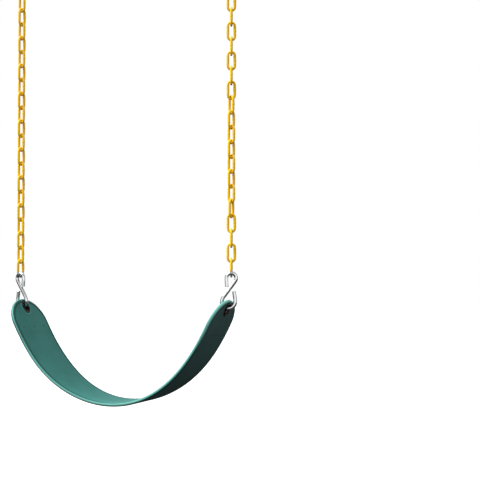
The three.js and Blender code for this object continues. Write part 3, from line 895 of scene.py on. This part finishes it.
GATE_PIVOT = gate_line(GATE_PIVOT_DOWN)
GATE_HEADING = (gate_line(0) - GATE_PIVOT) / np.linalg.norm(gate_line(0) - GATE_PIVOT)
GATE_FRAME = shift(GATE_PIVOT[0], 0, GATE_PIVOT[1]) @ Matrix.Rotation(
    math.atan2(GATE_HEADING[0], GATE_HEADING[1]), 4, "Y")
NOSE_END = np.array(arc(0, NARROW_Z, SNAP_NARROW_RADIUS, 0, SNAP_NOSE_ANGLE, 1)[-1])
GATE_LENGTH = float((NOSE_END - GATE_PIVOT) @ GATE_HEADING)
ALONG_Y = Matrix.Rotation(math.pi / 2, 4, "X")


def snap_body():
    leg = (SNAP_NECK_ACROSS, -SNAP_NECK_DOWN)
    wide = arc(0, WIDE_Z, SNAP_WIDE_RADIUS, 180, 360, 10)
    half_way = ((leg[0] + SNAP_WIDE_RADIUS) / 2, (leg[1] + WIDE_Z) / 2)
    tongue = [tuple(gate_line(GATE_PIVOT_DOWN + down)) for down in (-GATE_TONGUE_END, 6)]
    narrow = arc(0, NARROW_Z, SNAP_NARROW_RADIUS, -35, SNAP_NOSE_ANGLE, 10)
    points = [*tongue, *wide, half_way, leg, *narrow]
    body = cut_wire("snap_body", points, SNAP_WIRE, SNAP, 28, 0.5)
    cheek = (SNAP_WIRE - GATE_TONGUE) / 2 + 0.5
    tools = []
    for face in (-1, 1):
        place = GATE_FRAME @ shift(0, face * (GATE_TONGUE + cheek) / 2, 0)
        tools.append(block(2 * SNAP_WIRE, cheek, SNAP_WIRE + 2 * GAP, place))
    tools.append(bar(GATE_PIN_RADIUS + GATE_PIN_PLAY, CUTTER_LENGTH, GATE_FRAME @ ALONG_Y, 32))
    slot = GATE_FRAME @ shift(CATCH_SLOT_OUTWARD, 0, GATE_LENGTH + CATCH_SLOT_ABOVE)
    tools.append(block(SNAP_WIRE, GATE_TONGUE + 2 * GAP, CATCH_SLOT_LENGTH, slot))
    combine(body, "DIFFERENCE", tools)
    return body


def snap_gate():
    """Round bar forked over the tongue at its foot, with a flat latch that drops into the nose."""
    shoulder = GATE_LENGTH - LATCH_SHOULDER
    radius = SNAP_WIRE / 2
    profile = [(0, -radius)]
    profile += [(radius * math.cos(a), radius * math.sin(a)) for a in np.radians(np.arange(-80, 1, 8))]
    profile += [(radius, shoulder - 0.5), (radius - 0.15, shoulder - 0.15), (radius - 0.5, shoulder)]
    profile += [(0, shoulder)]
    gate = lathe_solid("snap_gate", profile, SNAP)
    latch_place = shift(LATCH_OUTWARD, 0, shoulder + LATCH_ABOVE)
    latch = block(LATCH_ACROSS, GATE_TONGUE, LATCH_LENGTH, latch_place)
    combine(gate, "UNION", [latch])
    below = CUTTER_LENGTH / 2
    fork = shift(0, 0, (GATE_FORK_END - below) / 2)
    combine(gate, "DIFFERENCE", [
        block(CUTTER_LENGTH, GATE_TONGUE + 2 * GAP, GATE_FORK_END + below, fork),
        bar(GATE_PIN_RADIUS + GATE_PIN_PLAY, CUTTER_LENGTH, ALONG_Y, 32),
        bar(GATE_SPRING_RADIUS + GATE_SPRING_WIRE, 12, shift(0, 0, GATE_FORK_END + 5), 32),
    ])
    gate.data.transform(GATE_FRAME)
    return gate


def lathe_solid(name, profile, material, segments=40):
    """A (radius, height) profile that starts and ends on the Z axis, turned about it."""
    rings = profile[1:-1]
    vertices = [(0, 0, profile[0][1])]
    angles = [2 * math.pi * k / segments for k in range(segments)]
    for r, z in rings:
        vertices += [(r * math.cos(angle), r * math.sin(angle), z) for angle in angles]
    vertices.append((0, 0, profile[-1][1]))
    top = len(vertices) - 1
    faces = []
    for k in range(segments):
        after = (k + 1) % segments
        faces.append((0, 1 + after, 1 + k))
        for i in range(len(rings) - 1):
            a, b = 1 + i * segments + k, 1 + i * segments + after
            faces.append((a, b, b + segments, a + segments))
        last = 1 + (len(rings) - 1) * segments
        faces.append((last + k, last + after, top))
    obj = make_object(name, vertices, faces, material)
    fix_normals(obj)
    return obj


def gate_pin():
    """Rivet with both ends peened over a little."""
    length, radius = SNAP_WIRE - 0.4, GATE_PIN_RADIUS
    half = length / 2
    profile = [(0, -half), (radius - 0.5, -half), (radius - 0.15, -half + 0.12), (radius, -half + 0.4),
               (radius, half - 0.4), (radius - 0.15, half - 0.12), (radius - 0.5, half), (0, half)]
    pin = lathe_solid("gate_rivet", profile, SNAP, 32)
    pin.data.transform(GATE_FRAME @ ALONG_Y)
    return pin


def gate_spring():
    """Closed coil of round wire in the gate's bore."""
    turn_steps, sides = 20, 10
    steps = GATE_SPRING_TURNS * turn_steps
    bottom, height = GATE_FORK_END + 0.5, GATE_SPRING_LENGTH
    vertices, faces = [], []
    for i in range(steps + 1):
        angle = 2 * math.pi * i / turn_steps
        for k in range(sides):
            phi = 2 * math.pi * k / sides
            r = GATE_SPRING_RADIUS + GATE_SPRING_WIRE / 2 * math.cos(phi)
            z = bottom + height * i / steps + GATE_SPRING_WIRE / 2 * math.sin(phi)
            vertices.append((r * math.cos(angle), r * math.sin(angle), z))
            if i < steps:
                a, b = i * sides + k, i * sides + (k + 1) % sides
                faces.append((a, b, b + sides, a + sides))
    faces.append(tuple(range(sides)))
    faces.append(tuple(range(steps * sides, (steps + 1) * sides)))
    spring = make_object("gate_coil", vertices, faces, SPRING)
    fix_normals(spring)
    spring.data.transform(GATE_FRAME)
    return spring


def build_snap_hooks():
    made = (
        (snap_body(), "snap_hook", "hangers", "snap_steel"),
        (snap_gate(), "snap_gate", "gate", "snap_steel"),
        (gate_pin(), "gate_pin", "hangers", "snap_steel"),
        (gate_spring(), "gate_spring", "gate", "spring_steel"),
    )
    for original, node, body, slot_name in made:
        for name, _ in SIDES:
            copy = original.copy()
            copy.data = original.data.copy()
            copy.name = f"{original.name}_{name}_steel"
            bpy.context.scene.collection.objects.link(copy)
            copy.data.transform(turned(name, chain_turn(name, LINKS_PER_SIDE)))
            on = f"gate_{name}" if body == "gate" else body
            settle(copy, f"{node}_{name}", on)
        bpy.data.objects.remove(original)


build_snap_hooks()


# ------------------------------------------------------------------ stage, light and camera

GROUND_Z = BELT_LOW.z - 0.45
HOLE_Z = (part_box("eyelet_left")[0].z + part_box("eyelet_left")[1].z) / 2
FLOOR_HALF = 30.0
FLAG_HALF_WIDTH = 2.5
FLAG_HALF_HEIGHT = 4.0
FLAG_DISTANCE = 6.0
FLAG_DROP = 0.6


def card(name, across, along, up, material):
    """A flat face about its own origin, from its half sizes in metres. One of along and up is 0."""
    corners = [(-across, -along, -up), (across, -along, -up), (across, along, up), (-across, along, up)]
    mesh = bpy.data.meshes.new(name)
    mesh.from_pydata(corners, [], [(0, 1, 2, 3)])
    mesh.materials.append(material)
    obj = bpy.data.objects.new(name, mesh)
    bpy.context.scene.collection.objects.link(obj)
    return obj


def build_floor():
    """Pale floor that the camera sees, but that neither lights the belt nor shows in the metal."""
    floor = card("floor", FLOOR_HALF, FLOOR_HALF, 0, FLOOR)
    floor.location.z = GROUND_Z
    floor.visible_diffuse = False
    floor.visible_glossy = False


def build_flag(azimuth):
    """A tall dark card, seen only in the metal, that draws dark lines down the chrome as studio flags do."""
    material, _, shader, _ = new_material("flag")
    shader.inputs["Base Color"].default_value = (0.01, 0.01, 0.01, 1)
    shader.inputs["Roughness"].default_value = 1.0
    flag = card("flag", FLAG_HALF_WIDTH, 0, FLAG_HALF_HEIGHT, material)
    turn = Matrix.Rotation(math.radians(azimuth), 4, "Z")
    flag.matrix_world = turn @ Matrix.Translation((0, FLAG_DISTANCE, -FLAG_DROP))
    flag.visible_camera = False
    flag.visible_diffuse = False
    flag.visible_shadow = False


# Brightness of the surroundings at each height on the unit sphere.
WORLD_LEVELS = ((-0.34, 0.05), (-0.12, 0.35), (-0.05, 1.0), (0.42, 1.0), (0.62, 0.45), (0.95, 0.45))


def build_world():
    """White all round at eye level, dimmer overhead and dark below."""
    world = bpy.data.worlds.new("studio")
    world.use_nodes = True
    tree = world.node_tree
    background = tree.nodes["Background"]
    direction = tree.nodes.new("ShaderNodeTexCoord")
    split = tree.nodes.new("ShaderNodeSeparateXYZ")
    height = tree.nodes.new("ShaderNodeMapRange")
    levels = tree.nodes.new("ShaderNodeValToRGB")
    height.inputs["From Min"].default_value = -1.0
    ramp = levels.color_ramp
    for place, grey in WORLD_LEVELS:
        stop = ramp.elements.new((place + 1) / 2)
        stop.color = (grey, grey, grey, 1)
    ramp.elements.remove(ramp.elements[0])
    ramp.elements.remove(ramp.elements[-1])
    tree.links.new(direction.outputs["Generated"], split.inputs["Vector"])
    tree.links.new(split.outputs["Z"], height.inputs["Value"])
    tree.links.new(height.outputs["Result"], levels.inputs["Fac"])
    tree.links.new(levels.outputs["Color"], background.inputs["Color"])
    bpy.context.scene.world = world


def build_key():
    """Big soft light from above, in front and on the left."""
    light = bpy.data.lights.new("key", "SUN")
    light.energy = 4.6
    light.angle = math.radians(40)
    key = bpy.data.objects.new("key", light)
    towards = Vector((-0.55, -0.30, 0.80))
    key.rotation_euler = towards.to_track_quat("Z", "Y").to_euler()
    bpy.context.scene.collection.objects.link(key)


def build_camera():
    """The photograph's own view: from the front and the right, just above the eyelets, slightly upwards."""
    around = math.radians(23.38)
    facing = math.radians(18.02)
    pitch = math.radians(1.9)
    distance, above_holes = 2.604, 0.0549
    data = bpy.data.cameras.new("camera")
    data.sensor_width = 36.0
    data.lens = 93.57
    data.clip_end = 200
    camera = bpy.data.objects.new("camera", data)
    camera.location = (distance * math.sin(around), -distance * math.cos(around), HOLE_Z + above_holes)
    level = math.cos(pitch)
    ahead = Vector((-math.sin(facing) * level, math.cos(facing) * level, math.sin(pitch)))
    camera.rotation_euler = ahead.to_track_quat("-Z", "Y").to_euler()
    bpy.context.scene.collection.objects.link(camera)
    bpy.context.scene.camera = camera


build_floor()
for flag_azimuth in (113.0, -67.0):
    build_flag(flag_azimuth)
build_world()
build_key()
build_camera()
bpy.context.scene.view_settings.view_transform = "Standard"
